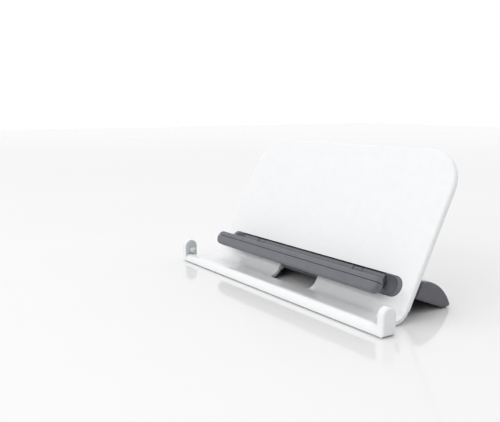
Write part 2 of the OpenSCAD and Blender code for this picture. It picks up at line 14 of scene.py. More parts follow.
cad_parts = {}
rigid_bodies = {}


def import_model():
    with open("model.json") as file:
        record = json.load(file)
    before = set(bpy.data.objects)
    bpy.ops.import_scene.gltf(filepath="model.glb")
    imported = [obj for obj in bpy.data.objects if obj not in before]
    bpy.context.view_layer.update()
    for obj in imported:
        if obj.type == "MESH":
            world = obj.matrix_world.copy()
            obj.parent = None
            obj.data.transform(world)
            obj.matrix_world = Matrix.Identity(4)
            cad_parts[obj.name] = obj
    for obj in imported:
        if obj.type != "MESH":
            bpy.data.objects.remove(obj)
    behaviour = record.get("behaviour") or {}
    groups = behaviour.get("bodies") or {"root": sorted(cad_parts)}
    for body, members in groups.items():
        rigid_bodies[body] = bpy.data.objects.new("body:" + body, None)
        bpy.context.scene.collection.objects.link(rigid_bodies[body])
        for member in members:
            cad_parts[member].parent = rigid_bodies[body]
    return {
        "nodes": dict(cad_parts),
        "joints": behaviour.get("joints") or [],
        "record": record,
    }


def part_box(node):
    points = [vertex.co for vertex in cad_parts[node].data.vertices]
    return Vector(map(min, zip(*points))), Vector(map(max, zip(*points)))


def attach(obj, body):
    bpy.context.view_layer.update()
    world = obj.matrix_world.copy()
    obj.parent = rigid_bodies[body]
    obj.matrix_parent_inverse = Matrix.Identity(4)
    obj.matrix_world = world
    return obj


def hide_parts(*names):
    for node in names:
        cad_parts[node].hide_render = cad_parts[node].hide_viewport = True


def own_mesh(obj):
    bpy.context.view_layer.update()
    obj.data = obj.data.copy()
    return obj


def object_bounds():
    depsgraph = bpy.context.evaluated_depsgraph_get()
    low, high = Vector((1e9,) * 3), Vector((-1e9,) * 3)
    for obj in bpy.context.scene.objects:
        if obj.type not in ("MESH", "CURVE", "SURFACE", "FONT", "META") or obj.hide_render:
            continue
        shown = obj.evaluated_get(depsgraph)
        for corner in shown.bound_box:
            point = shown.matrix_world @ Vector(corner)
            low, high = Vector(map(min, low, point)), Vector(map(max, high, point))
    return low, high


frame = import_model()
nodes = frame["nodes"]
joints = {j["name"]: j for j in frame["joints"]}
cad_low, cad_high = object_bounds()
MM = 0.001
print("nodes", len(nodes), "box in mm", [round(s * 1000, 1) for s in cad_high - cad_low])


# %% [markdown]
# ## Helpers
# An operator works on all that is selected, so everything is deselected
# first.  Most pieces belong to the leaning panel, so they are modelled
# upright, with the panel's face as the plane y = 0, and then leant back.
# They could be modelled where they stand, but upright their edges run along
# x, y and z, where they are easy to pick.  The lean is turned about the line
# where the top of the ledge's ribbed pad meets the panel's face.

# %% Selecting and leaning
RECLINE = math.radians(28)
HINGE_Y, HINGE_Z = 3.2, 9.35  # the ledge's hinge in the upright frame, in mm
LEAN = Matrix.Rotation(-RECLINE, 4, "X")
PANEL_ORIGIN = Vector(joints["ledge_hinge"]["pos_m"]) - LEAN @ Vector((0, HINGE_Y * MM, HINGE_Z * MM))
print("panel frame starts at, in mm", [round(v * 1000, 2) for v in PANEL_ORIGIN])


def deselect():
    if bpy.context.object and bpy.context.object.mode != "OBJECT":
        bpy.ops.object.mode_set(mode="OBJECT")
    bpy.ops.object.select_all(action="DESELECT")


def only(piece):
    deselect()
    piece.select_set(True)
    bpy.context.view_layer.objects.active = piece


def apply_place(piece):
    only(piece)
    bpy.ops.object.transform_apply(location=True, rotation=True, scale=True)


def lean(piece):
    """Leans an upright piece back with the panel and bakes its place into its mesh."""
    piece.rotation_euler = (-RECLINE, 0, 0)
    piece.location = PANEL_ORIGIN
    apply_place(piece)
    return piece


# %% [markdown]
# A block starts as a cube that is stretched between two corners, and a rod as
# a cylinder between two points.  Both are only starts: edges are then picked
# and rounded.  They are picked in code by where they lie, because nobody is
# there to click on them.

# %% Blocks, rods and picked edges
def block(name, corner, far_corner):
    """A cube stretched between any two opposite corners given in millimetres."""
    deselect()
    low = Vector([min(pair) for pair in zip(corner, far_corner)]) * MM
    high = Vector([max(pair) for pair in zip(corner, far_corner)]) * MM
    bpy.ops.mesh.primitive_cube_add(size=1, location=(low + high) / 2)
    piece = bpy.context.object
    piece.name = name
    piece.scale = high - low
    apply_place(piece)
    return piece


def rod(name, start, end, radius, sides=48):
    """A cylinder between two points given in millimetres."""
    deselect()
    start, end = Vector(start) * MM, Vector(end) * MM
    bpy.ops.mesh.primitive_cylinder_add(vertices=sides, radius=radius * MM, depth=(end - start).length)
    piece = bpy.context.object
    piece.name = name
    piece.rotation_euler = (end - start).to_track_quat("Z", "Y").to_euler()
    piece.location = (start + end) / 2
    apply_place(piece)
    return piece


def pick_edges(piece, wanted):
    """Selects, in edit mode, the edges whose two ends pass a test in millimetres."""
    only(piece)
    bpy.ops.object.mode_set(mode="EDIT")
    bpy.ops.mesh.select_mode(type="EDGE")
    bpy.ops.mesh.select_all(action="DESELECT")
    bpy.ops.object.mode_set(mode="OBJECT")
    for edge in piece.data.edges:
        p, q = (piece.data.vertices[i].co / MM for i in edge.vertices)
        edge.select = bool(wanted(p, q))
    bpy.ops.object.mode_set(mode="EDIT")


def round_edges(piece, radius, segments, wanted):
    pick_edges(piece, wanted)
    bpy.ops.mesh.bevel(offset=radius * MM, offset_type="OFFSET", segments=segments, profile=0.5, affect="EDGES")
    bpy.ops.mesh.select_all(action="SELECT")
    bpy.ops.mesh.remove_doubles(threshold=0.00001)
    bpy.ops.object.mode_set(mode="OBJECT")


CLOSE = 0.01  # two places nearer than this, in mm, count as the same


def along(axis):
    """A test for edges that run along x (0), y (1) or z (2)."""
    return lambda p, q: all(abs(p[i] - q[i]) < CLOSE for i in range(3) if i != axis)


def on_plane(axis, value):
    """A test for edges that lie in a plane across one axis."""
    return lambda p, q: abs(p[axis] - value) < CLOSE and abs(q[axis] - value) < CLOSE


# %% [markdown]
# Boolean modifiers cut and join pieces, and a bevel modifier that only looks
# at sharp edges softens every rim, as the polished steel of a mould does.
# Weighted normals then keep the flat areas flat where they meet a rounded
# rim.  Each modifier is applied, so the finished mesh holds its result.

# %% Cutting, joining and softening
MERGE = 0.000005  # in metres: corners nearer than this become one
FLAT = math.radians(0.5)  # faces that differ less than this become one


def apply_modifier(piece, kind, **settings):
    only(piece)
    modifier = piece.modifiers.new("step", kind)
    for key, value in settings.items():
        setattr(modifier, key, value)
    bpy.ops.object.modifier_apply(modifier=modifier.name)


def cut(piece, *cutters, operation="DIFFERENCE"):
    for cutter in cutters:
        apply_modifier(piece, "BOOLEAN", object=cutter, operation=operation, solver="EXACT")
        bpy.data.objects.remove(cutter)
    return piece


def join(piece, *others):
    return cut(piece, *others, operation="UNION")


def soften(piece, width, segments=2, angle=35):
    """Rounds every sharp edge by width millimetres and shades the rest smooth."""
    only(piece)
    bpy.ops.object.mode_set(mode="EDIT")
    bpy.ops.mesh.select_all(action="SELECT")
    bpy.ops.mesh.remove_doubles(threshold=MERGE)
    bpy.ops.mesh.dissolve_limited(angle_limit=FLAT)
    bpy.ops.object.mode_set(mode="OBJECT")
    if width:
        apply_modifier(piece, "BEVEL", width=width * MM, segments=segments, limit_method="ANGLE",
                       angle_limit=math.radians(angle), harden_normals=False, use_clamp_overlap=True)
    only(piece)
    bpy.ops.object.shade_smooth_by_angle(angle=math.radians(angle))
    apply_modifier(piece, "WEIGHTED_NORMAL", mode="FACE_AREA", weight=80, keep_sharp=True)
    return piece


# %% [markdown]
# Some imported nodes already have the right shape, and only need softer rims.
# Those are never changed themselves.  A copy with its own mesh is worked on,
# and it takes its node's place once it is finished.

# %% Copies and finished pieces
scene_items = bpy.context.scene.collection.objects


def copy_of(node, name):
    """A copy of a CAD node with its own mesh, merged, ready to be worked on."""
    piece = nodes[node].copy()
    piece.data = nodes[node].data.copy()
    piece.name = name
    piece.parent = None
    for key in list(piece.keys()):
        del piece[key]
    scene_items.link(piece)
    piece.matrix_world = Matrix.Identity(4)
    only(piece)
    bpy.ops.object.mode_set(mode="EDIT")
    bpy.ops.mesh.select_all(action="SELECT")
    bpy.ops.mesh.remove_doubles(threshold=MERGE)
    bpy.ops.object.mode_set(mode="OBJECT")
    return piece


def finished(piece, body, slot, material, *replaced):
    """Gives a piece its finish and lets it ride on its body in place of CAD nodes."""
    piece.data.materials.clear()
    piece.data.materials.append(material)
    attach(piece, body)
    if replaced:
        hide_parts(*replaced)
    print(piece.name, "faces", len(piece.data.polygons))
    return piece


# %% [markdown]
# A shape that is the same all the way across is drawn from the side.  A flat
# disc is added, its rim is moved onto the side view's outline, and the disc is
# extruded along x.  A curve could be bevelled instead, but a mesh keeps its
# corners exactly where the outline puts them.

# %% Drawing a shape from the side
def arc_points(centre, radius, start, end, steps):
    turns = [math.radians(start + (end - start) * i / steps) for i in range(steps + 1)]
    return [centre + radius * Vector((math.cos(a), math.sin(a))) for a in turns]


def side_profile(name, outline, x_start, x_end):
    """A solid between two x values whose side view is a list of [y, z] points."""
    deselect()
    bpy.ops.mesh.primitive_circle_add(vertices=len(outline), radius=0.01, fill_type="NGON")
    piece = bpy.context.object
    piece.name = name
    for vertex, point in zip(piece.data.vertices, outline):
        vertex.co = (x_start * MM, point.x * MM, point.y * MM)
    only(piece)
    bpy.ops.object.mode_set(mode="EDIT")
    bpy.ops.mesh.select_all(action="SELECT")
    bpy.ops.mesh.extrude_region_move(TRANSFORM_OT_translate={"value": ((x_end - x_start) * MM, 0, 0)})
    bpy.ops.mesh.select_all(action="SELECT")
    bpy.ops.mesh.normals_make_consistent(inside=False)
    bpy.ops.object.mode_set(mode="OBJECT")
    return piece


# %% [markdown]
# ## Finishes
# Moulded plastic is never one flat colour.  The pigment is mottled a little,
# the mould's texture makes a fine bump, and handling leaves broad patches that
# are slightly more or less glossy.  One recipe, with its own numbers for each
# plastic, covers them all.  Noise reads Object coordinates, in metres, so a
# scale of 900 gives a grain of about a millimetre.

# %% One recipe for moulded plastic
def moulded(name, colour, rough, grain_scale, grain_depth, mottle, smear, coat=0.0, specular=0.5):
    material = bpy.data.materials.new(name)
    material.use_nodes = True
    tree = material.node_tree
    shader = tree.nodes["Principled BSDF"]
    shader.inputs["Specular IOR Level"].default_value = specular
    shader.inputs["Coat Weight"].default_value = coat
    shader.inputs["Coat Roughness"].default_value = 0.05
    place = tree.nodes.new("ShaderNodeTexCoord")

    pigment = tree.nodes.new("ShaderNodeTexNoise")
    pigment.inputs["Scale"].default_value = 140
    pigment.inputs["Detail"].default_value = 4
    tint = tree.nodes.new("ShaderNodeValToRGB")
    tint.color_ramp.elements[0].position = 0.3
    tint.color_ramp.elements[1].position = 0.7
    tint.color_ramp.elements[0].color = [c * (1 - mottle) for c in colour] + [1]
    tint.color_ramp.elements[1].color = [min(1, c * (1 + mottle)) for c in colour] + [1]

    handling = tree.nodes.new("ShaderNodeTexNoise")
    handling.inputs["Scale"].default_value = 22
    handling.inputs["Detail"].default_value = 3
    gloss = tree.nodes.new("ShaderNodeMapRange")
    gloss.inputs["From Min"].default_value = 0.3
    gloss.inputs["From Max"].default_value = 0.7
    gloss.inputs["To Min"].default_value = rough * (1 - smear)
    gloss.inputs["To Max"].default_value = rough * (1 + smear)

    grain = tree.nodes.new("ShaderNodeTexNoise")
    grain.inputs["Scale"].default_value = grain_scale
    grain.inputs["Detail"].default_value = 2
    bump = tree.nodes.new("ShaderNodeBump")
    bump.inputs["Strength"].default_value = grain_depth
    bump.inputs["Distance"].default_value = 0.0001

    link = tree.links.new
    for noise in (pigment, handling, grain):
        link(place.outputs["Object"], noise.inputs["Vector"])
    link(pigment.outputs["Fac"], tint.inputs["Fac"])
    link(tint.outputs["Color"], shader.inputs["Base Color"])
    link(handling.outputs["Fac"], gloss.inputs["Value"])
    link(gloss.outputs["Result"], shader.inputs["Roughness"])
    link(grain.outputs["Fac"], bump.inputs["Height"])
    link(bump.outputs["Normal"], shader.inputs["Normal"])
    return material


# %% [markdown]
# Steel pins, screws and springs are small.  Their finish is a drawn metal:
# noise stretched along x by a Mapping node gives the fine lines.

# %% Drawn steel
def drawn_steel(name):
    material = bpy.data.materials.new(name)
    material.use_nodes = True
    tree = material.node_tree
    shader = tree.nodes["Principled BSDF"]
    shader.inputs["Metallic"].default_value = 1.0
    place = tree.nodes.new("ShaderNodeTexCoord")
    stretch = tree.nodes.new("ShaderNodeMapping")
    stretch.inputs["Scale"].default_value = (60, 2500, 2500)
    lines = tree.nodes.new("ShaderNodeTexNoise")
    lines.inputs["Scale"].default_value = 1
    lines.inputs["Detail"].default_value = 3
    tone = tree.nodes.new("ShaderNodeValToRGB")
    tone.color_ramp.elements[0].color = (0.42, 0.43, 0.45, 1)
    tone.color_ramp.elements[1].color = (0.72, 0.73, 0.74, 1)
    gloss = tree.nodes.new("ShaderNodeMapRange")
    gloss.inputs["To Min"].default_value = 0.24
    gloss.inputs["To Max"].default_value = 0.42
    link = tree.links.new
    link(place.outputs["Object"], stretch.inputs["Vector"])
    link(stretch.outputs["Vector"], lines.inputs["Vector"])
    link(lines.outputs["Fac"], tone.inputs["Fac"])
    link(tone.outputs["Color"], shader.inputs["Base Color"])
    link(lines.outputs["Fac"], gloss.inputs["Value"])
    link(gloss.outputs["Result"], shader.inputs["Roughness"])
    return material


# %% [markdown]
# The shell is a glossy white with a clear coat, so that the trough's floor
# picks up the panel above it.  The ledge is a satin grey, its cap a little
# softer and duller, the foot a dark grey with some shine, and rubber is dull.
# Every CAD node also gets the finish of its own slot, for the pins, washers
# and leaf springs that stay as they were packed.

# %% The stand's finishes
shell_white = moulded("gloss_white_plastic", (0.85, 0.86, 0.87), rough=0.15, grain_scale=700,
                      grain_depth=0.03, mottle=0.012, smear=0.15, coat=0.8)
cover_white = moulded("satin_white_plastic", (0.82, 0.83, 0.84), rough=0.42, grain_scale=1800,
                      grain_depth=0.22, mottle=0.015, smear=0.10)
peg_grey = moulded("light_grey_acetal", (0.58, 0.61, 0.62), rough=0.28, grain_scale=900,
                   grain_depth=0.05, mottle=0.02, smear=0.12)
ear_grey = moulded("light_grey_plastic", (0.60, 0.63, 0.64), rough=0.40, grain_scale=1500,
                   grain_depth=0.12, mottle=0.03, smear=0.10)
ledge_grey = moulded("mid_grey_plastic", (0.145, 0.150, 0.168), rough=0.42, grain_scale=1600,
                     grain_depth=0.20, mottle=0.05, smear=0.12)
lip_grey = moulded("soft_grey_elastomer", (0.155, 0.160, 0.178), rough=0.52, grain_scale=2200,
                   grain_depth=0.30, mottle=0.05, smear=0.10, specular=0.4)
hinge_grey = moulded("dark_hinge_plastic", (0.040, 0.040, 0.047), rough=0.33, grain_scale=1500,
                     grain_depth=0.18, mottle=0.07, smear=0.12)
foot_grey = moulded("dark_foot_plastic", (0.098, 0.098, 0.116), rough=0.25, grain_scale=1300,
                    grain_depth=0.10, mottle=0.07, smear=0.15, coat=0.15)
rubber_dark = moulded("dark_rubber", (0.032, 0.033, 0.035), rough=0.78, grain_scale=2600,
                      grain_depth=0.45, mottle=0.10, smear=0.06, specular=0.3)
steel = drawn_steel("drawn_steel")

FINISH = {
    "shell_white": shell_white, "cover_white": cover_white, "peg_grey": peg_grey, "ear_grey": ear_grey,
    "hinge_grey": hinge_grey, "ledge_grey": ledge_grey, "lip_grey": lip_grey, "foot_grey": foot_grey,
    "rubber_dark": rubber_dark, "steel": steel,
}
for entry in frame["record"]["subparts"]:
    node = nodes[entry["node"]]
    node.data.materials.clear()
    node.data.materials.append(FINISH[entry["material_slot"]])
print("finishes", len(FINISH))

# %% [markdown]
# ## White shell
# The shell is one moulding: panel, bend, trough, rail and ears.  Its shape is
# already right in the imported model, so a copy of that mesh is worked on.  The
# ears' outer rims are rounder than its other rims.  Bevelling them on the copy
# left a crack at the tiny edges where the trough's front runs into each ear,
# so a rounded former is drawn from the side instead.  What lies outside the
# former is shaved off.

# %% The ears' outer rims
shell = copy_of("front_shell", "white_shell")
EAR_X = cad_high.x / MM
PEG_Y, PEG_Z = (((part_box("right_peg")[0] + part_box("right_peg")[1]) / 2) / MM).yz
SHELL_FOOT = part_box("front_shell")[0].z / MM
EAR_HALF, EAR_HEIGHT, EAR_RIM = 6.5, 20.0, 1.7
HAIR = 0.03  # the former is a hair wider than the ear, so that only the rim is shaved
FRONT_TOP, FRONT_OUT = 3.2, 0.5  # below this height the former's front slopes out by this much
FORMER_R = EAR_HALF + HAIR
FORMER_FOOT = SHELL_FOOT - 0.05
SHAVE_FROM = 137.9  # in from the ear's outer face by a little more than the rim's radius

ear_outline = arc_points(Vector((PEG_Y, SHELL_FOOT + EAR_HEIGHT - EAR_HALF)), FORMER_R, 0, 180, 24)
ear_outline += [Vector((PEG_Y - FORMER_R, FRONT_TOP)), Vector((PEG_Y - FORMER_R - FRONT_OUT, FORMER_FOOT)),
                Vector((PEG_Y + FORMER_R, FORMER_FOOT))]
for side in (-1, 1):
    former = side_profile("ear_former", ear_outline, side * 130, side * EAR_X)
    round_edges(former, EAR_RIM, 6, on_plane(0, side * EAR_X))
    shaver = block("shaver", (side * SHAVE_FROM, -60, -5), (side * 145, -20, 40))  # holds the whole ear's end
    cut(shaver, former)
    cut(shell, shaver)
print("ear outline has", len(ear_outline), "corners")

# %% [markdown]
# The rest of the shell's rims are softened the way a polished mould leaves
# them, by one bevel modifier all round.  The cover on the panel's back is
# thinner and crisper, so its rims are rounded less.

# %% Shell and rear cover
soften(shell, 0.5, 3, 40)
finished(shell, "base", "shell_white", shell_white, "front_shell")
cover = soften(copy_of("rear_cover", "white_rear_cover"), 0.25, 2, 40)
finished(cover, "base", "cover_white", cover_white, "rear_cover")

# %% [markdown]
# ## Cup and bracket
# The cup fills the capsule-shaped opening.  Each of its ends is a scooped
# hollow that runs on into the pocket for the ledge, so a wide rod is cut out
# of the copy there.  The bracket behind the panel carries the foot.  Its shape
# is right as it was packed, so its copy only needs a bevel.

# %% Cup and bracket
SCOOP_START, SCOOP_END = 94, 103.05
SCOOP_FRONT, SCOOP_UP, SCOOP_R = -4.6, 4.55, 8.8  # the axis lies in front of the panel's face

cup = copy_of("hinge_cup", "hinge_cup_moulding")
scoops = [rod("scoop_run", (s * SCOOP_START, SCOOP_FRONT, SCOOP_UP), (s * SCOOP_END, SCOOP_FRONT, SCOOP_UP),
              SCOOP_R, 72) for s in (-1, 1)]
cut(cup, *[lean(scoop) for scoop in scoops])
soften(cup, 0.15, 2, 40)
finished(cup, "base", "ledge_grey", ledge_grey, "hinge_cup")
bracket = soften(copy_of("hinge_bracket", "hinge_bracket_moulding"), 0.7, 3, 30)
finished(bracket, "base", "hinge_grey", hinge_grey, "hinge_bracket")

# %% [markdown]
# ## Ledge
# The ledge is one piece: a lip with round ends, a floor, and a back plate
# with a barrel that turns on two pins.  The lip starts as a short thick disc.
# Its left and right halves are pulled apart, which leaves a bar with round
# ends.  A cube with four rounded edges could make it too, but a disc's ends
# are round from the start.  A plane then cuts the bar in two at the groove,
# and the upper half becomes the soft cap.

# %% Lip, in two halves
LIP_FRONT, LIP_BACK, LIP_MID, LIP_END, LIP_HALF = -20.6, -13.6, -0.75, 6.45, 110


def lip_bar(name, keep_above, height):
    bar = rod(name, (0, LIP_FRONT, LIP_MID), (0, LIP_BACK, LIP_MID), LIP_END, 72)
    for side in (-1, 1):
        only(bar)
        bpy.ops.object.mode_set(mode="EDIT")
        bpy.ops.mesh.select_mode(type="VERT")
        bpy.ops.mesh.select_all(action="DESELECT")
        bpy.ops.object.mode_set(mode="OBJECT")
        for vertex in bar.data.vertices:
            vertex.select = vertex.co.x * side > 1e-5
        bpy.ops.object.mode_set(mode="EDIT")
        bpy.ops.transform.translate(value=(side * (LIP_HALF - LIP_END) * MM, 0, 0))
        bpy.ops.mesh.select_all(action="DESELECT")
        bpy.ops.object.mode_set(mode="OBJECT")
    round_edges(bar, 2.0, 6, on_plane(1, LIP_FRONT))
    round_edges(bar, 0.9, 3, on_plane(1, LIP_BACK))
    only(bar)
    bpy.ops.object.mode_set(mode="EDIT")
    bpy.ops.mesh.select_all(action="SELECT")
    bpy.ops.mesh.bisect(plane_co=(0, 0, height * MM), plane_no=(0, 0, 1), use_fill=True,
                        clear_inner=keep_above, clear_outer=not keep_above)
    bpy.ops.object.mode_set(mode="OBJECT")
    round_edges(bar, 0.3, 2, on_plane(2, height))
    return bar


SEAM, SEAM_GAP = LIP_MID + 1.75, 0.5
lip_low = lip_bar("ledge_lip", False, SEAM)
lip_high = lip_bar("soft_lip_cap", True, SEAM + SEAM_GAP)

# %% [markdown]
# The floor and the plate are blocks with softened edges.  Upright rods as
# cutters take the scoops out of the floor's ends.  The floor is trimmed to the
# plate's width where it passes through the opening, and two gaps are left in
# the barrel for the lugs that hold the pins.

# %% Floor, plate and barrel
FLOOR_HALF, FLOOR_FRONT, FLOOR_TOP, FLOOR_BOTTOM = 106.65, -14.2, -0.4, -3.45
PLATE_HALF, PLATE_BACK = 95.0, 3.6
END_SCOOP_X, END_SCOOP_Y, END_SCOOP_R = 111.05, -6.8, 8.2
TRIM_FRONT = -3.4
BARREL_R, LUG_X, LUG_GAP_HALF = 3.2, 66, 5.7

floor = block("ledge_floor", (-FLOOR_HALF, FLOOR_FRONT, FLOOR_BOTTOM), (FLOOR_HALF, PLATE_BACK, FLOOR_TOP))
for s in (1, -1):
    cut(floor, rod("end_scoop", (s * END_SCOOP_X, END_SCOOP_Y, -20), (s * END_SCOOP_X, END_SCOOP_Y, 20), END_SCOOP_R))
for s in (1, -1):
    cut(floor, block("trim", (s * PLATE_HALF, TRIM_FRONT, -20), (s * 120, 8, 20)))
plate = block("ledge_plate", (-PLATE_HALF, 0, FLOOR_BOTTOM), (PLATE_HALF, PLATE_BACK, HINGE_Z))
round_edges(plate, 1.2, 4, lambda p, q: along(0)(p, q) and p.z < 0 and p.y > 3)
barrel = rod("ledge_barrel", (-PLATE_HALF, HINGE_Y, HINGE_Z), (PLATE_HALF, HINGE_Y, HINGE_Z), BARREL_R)
ledge = join(floor, plate, barrel)
cut(ledge, *[block("lug_gap", (s * LUG_X - LUG_GAP_HALF, -4, 6.0), (s * LUG_X + LUG_GAP_HALF, 20, 20))
             for s in (-1, 1)])
join(ledge, lip_low)
print("ledge joined, faces", len(ledge.data.polygons))

# %% [markdown]
# A tongue stands up out of the lip, and the soft cap has a groove that is
# wider by a small gap, so the cap sits on it like a jar's lid.  The slot in
# the floor lets a connector reach the tablet, and a shallow seat holds the
# pad.

# %% Tongue, slot and seat
GAP = 0.15
TONGUE_HALF, TONGUE_FRONT, TONGUE_BACK, TONGUE_TOP = 103.5, -18.4, -15.8, 4.1
SLOT_HALF, SLOT_FRONT, SLOT_BACK = 16, -12.3, -1.3
PAD_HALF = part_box("ledge_pad")[1].x / MM
PAD_FRONT, PAD_BACK, PAD_BOTTOM, PAD_TOP = -12.8, -0.8, -0.9, -0.25

join(ledge, block("tongue", (-TONGUE_HALF, TONGUE_FRONT, 0), (TONGUE_HALF, TONGUE_BACK, TONGUE_TOP)))
slot_cutter = block("slot_cutter", (-SLOT_HALF, SLOT_FRONT, -30), (SLOT_HALF, SLOT_BACK, 30))
round_edges(slot_cutter, 1.0, 4, along(2))
pad_seat = block("pad_seat", (-PAD_HALF - GAP, PAD_FRONT - GAP, PAD_BOTTOM - 0.02), (PAD_HALF + GAP, PAD_BACK + GAP, 5))
cut(ledge, slot_cutter, pad_seat)
ledge.name = "ledge_moulding"
soften(ledge, 0.12, 1, 50)
finished(lean(ledge), "ledge", "ledge_grey", ledge_grey, "ledge_body")
cap_groove = block("cap_groove", (-TONGUE_HALF - GAP, TONGUE_FRONT - GAP, -1),
                   (TONGUE_HALF + GAP, TONGUE_BACK + GAP, TONGUE_TOP + GAP))
cut(lip_high, cap_groove)
soften(lip_high, 0, 1, 45)
finished(lean(lip_high), "ledge", "lip_grey", lip_grey, "lip_cap")

# %% [markdown]
# The pad is a thin rubber strip with ribs across it, so that a tablet's edge
# doesn't slide.  A bump in the finish could stand for the ribs, but modelled
# ones show from the side as well.  Each rib is a small block with a round top,
# and the ribs stop short of the slot.

# %% Ribbed pad
RIB_PITCH, RIB_HALF, RIB_BOTTOM, RIB_ROUND = 3, 0.7, -0.5, 0.35
RIBS_EACH_SIDE, RIB_FREE = 29, 18.5
SLOT_MARGIN = 0.4

pad = block("ribbed_ledge_pad", (-PAD_HALF, PAD_FRONT, PAD_BOTTOM), (PAD_HALF, PAD_BACK, PAD_TOP))
cut(pad, block("pad_slot", (-SLOT_HALF - SLOT_MARGIN, SLOT_FRONT - SLOT_MARGIN, -30),
               (SLOT_HALF + SLOT_MARGIN, SLOT_BACK + SLOT_MARGIN, 30)))
ribs = []
for i in range(-RIBS_EACH_SIDE, RIBS_EACH_SIDE + 1):
    x = RIB_PITCH * i
    if abs(x) < RIB_FREE:
        continue
    rib = block("rib", (x - RIB_HALF, SLOT_FRONT, RIB_BOTTOM), (x + RIB_HALF, SLOT_BACK, 0))
    round_edges(rib, RIB_ROUND, 2, on_plane(2, 0))
    ribs.append(rib)
deselect()
for rib in ribs:
    rib.select_set(True)
pad.select_set(True)
bpy.context.view_layer.objects.active = pad
bpy.ops.object.join()
print("ribs", len(ribs))
soften(pad, 0, 1, 40)
finished(lean(pad), "ledge", "rubber_dark", rubber_dark, "ledge_pad")

# %% [markdown]
# ## Rear foot
# From the side the foot is a leaf: a straight belly, a flat sole and an arched
# top that runs into the hinge barrel.  That outline is made of arcs and
# corners, so the foot is drawn from the side and extruded to its width.

# %% Foot outline
def on_panel(across, up):
    """A point of the leaning panel as [y, z] in millimetres in the stand's frame."""
    point = (PANEL_ORIGIN + LEAN @ Vector((0, across * MM, up * MM))) / MM
    return Vector((point.y, point.z))


FOOT_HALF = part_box("foot_top")[1].x / MM
TIP_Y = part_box("foot_top")[1].y / MM
SOLE_Z, TIP_Z, SOLE_LENGTH, SOLE_EDGE = 0.6, 2.4, 8.4, 1
ARCH_RISE, FOOT_BARREL_R = 5.2, 3.6
FOOT_BACK = 17.6  # how far behind the panel's face the barrel's top lies

pivot = Vector(joints["foot_hinge"]["pos_m"]) / MM
pivot = Vector((pivot.y, pivot.z))
root, barrel_top, tip = on_panel(14.0, 1.8), on_panel(FOOT_BACK, 17.0), Vector((TIP_Y, TIP_Z))
sole = [Vector((TIP_Y - SOLE_LENGTH, SOLE_Z)), Vector((TIP_Y - SOLE_EDGE, SOLE_Z))]
chord = barrel_top - tip
bow = (chord.length ** 2 / 4 + ARCH_RISE ** 2) / (2 * ARCH_RISE)
middle = (tip + barrel_top) / 2 + (ARCH_RISE - bow) * Vector((chord.y, -chord.x)).normalized()
first, last = ((p - middle) for p in (tip, barrel_top))
arch = arc_points(middle, bow, math.degrees(math.atan2(first.y, first.x)),
                  math.degrees(math.atan2(last.y, last.x)), 28)
outline = [root] + sole + arch + arc_points(pivot, FOOT_BARREL_R, 62, 152, 12)[1:]
print("foot outline has", len(outline), "corners, arch radius", round(bow, 1), "mm")

# %% [markdown]
# The foot's two side rims get a wide round, and its tip and the sole's end a
# narrower one.

# %% Foot body
foot = side_profile("foot_moulding", outline, -FOOT_HALF, FOOT_HALF)
round_edges(foot, 1.8, 5, lambda p, q: on_plane(0, FOOT_HALF)(p, q) or on_plane(0, -FOOT_HALF)(p, q))
round_edges(foot, 0.9, 3,
            lambda p, q: along(0)(p, q) and abs(p.x) < FOOT_HALF and p.z < TIP_Z + 0.2 and p.y > TIP_Y - 1.5)

# %% [markdown]
# Two notches clear the lugs of the bracket.  The belly's cover and the sole
# pad sit in shallow seats, so each is cut to fit what it holds.

# %% Notches for the lugs, seats for the belly's cover and the pad
NOTCH_X, NOTCH_HALF = 84, 5.8
BELLY_MARGIN, BELLY_START, BELLY_STOP, BELLY_DEPTH = 2.4, 3.4, 4.5, 2.6

notches = [block("lug_notch", (s * NOTCH_X - NOTCH_HALF, -1, 10.0), (s * NOTCH_X + NOTCH_HALF, FOOT_BACK + 3.7, 30))
           for s in (-1, 1)]
cut(foot, *[lean(notch) for notch in notches])
belly = (sole[0] - root).normalized()
belly_length = (sole[0] - root).length
belly_seat = block("belly_seat", (-FOOT_HALF + BELLY_MARGIN, BELLY_START, -3),
                   (FOOT_HALF - BELLY_MARGIN, belly_length - BELLY_STOP, BELLY_DEPTH))
belly_seat.rotation_euler = (math.atan2(belly.y, belly.x), 0, 0)
belly_seat.location = (0, root.x * MM, root.y * MM)
apply_place(belly_seat)
pad_low, pad_high = (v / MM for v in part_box("foot_pad"))
sole_seat = block("sole_seat", pad_low - Vector((0.05, 0.05, 1)), pad_high + Vector((0.05, 0.05, 0.02)))
cut(foot, belly_seat, sole_seat)
soften(foot, 0.15, 2, 40)
finished(foot, "foot", "foot_grey", foot_grey, "foot_top")
foot_cover = soften(copy_of("foot_base", "foot_belly_cover"), 0.2, 2, 40)
finished(foot_cover, "foot", "foot_grey", foot_grey, "foot_base")

# %% [markdown]
# ## Ears' caps, pegs and springs
# A peg is a rod whose tip is rounded to a dome by one wide bevel, which keeps
# the dome tangent to the rod.  A collar keeps it in its ear, and a hole in its
# back end takes the spring.  The left peg is a mirrored copy, so its normals
# are turned back outwards.

# %% Pegs
PEG_R, PEG_TIP, PEG_END = 2.7, 125.8, 135.35
COLLAR_R, COLLAR_START = 4.2, 134.55
SPRING_HOLE_R, SPRING_HOLE_START = 1.9, 129.3


def peg_rod(name, start, end, radius, sides):
    """A rod on the peg's own axis, between two x values."""
    return rod(name, (start, PEG_Y, PEG_Z), (end, PEG_Y, PEG_Z), radius, sides)


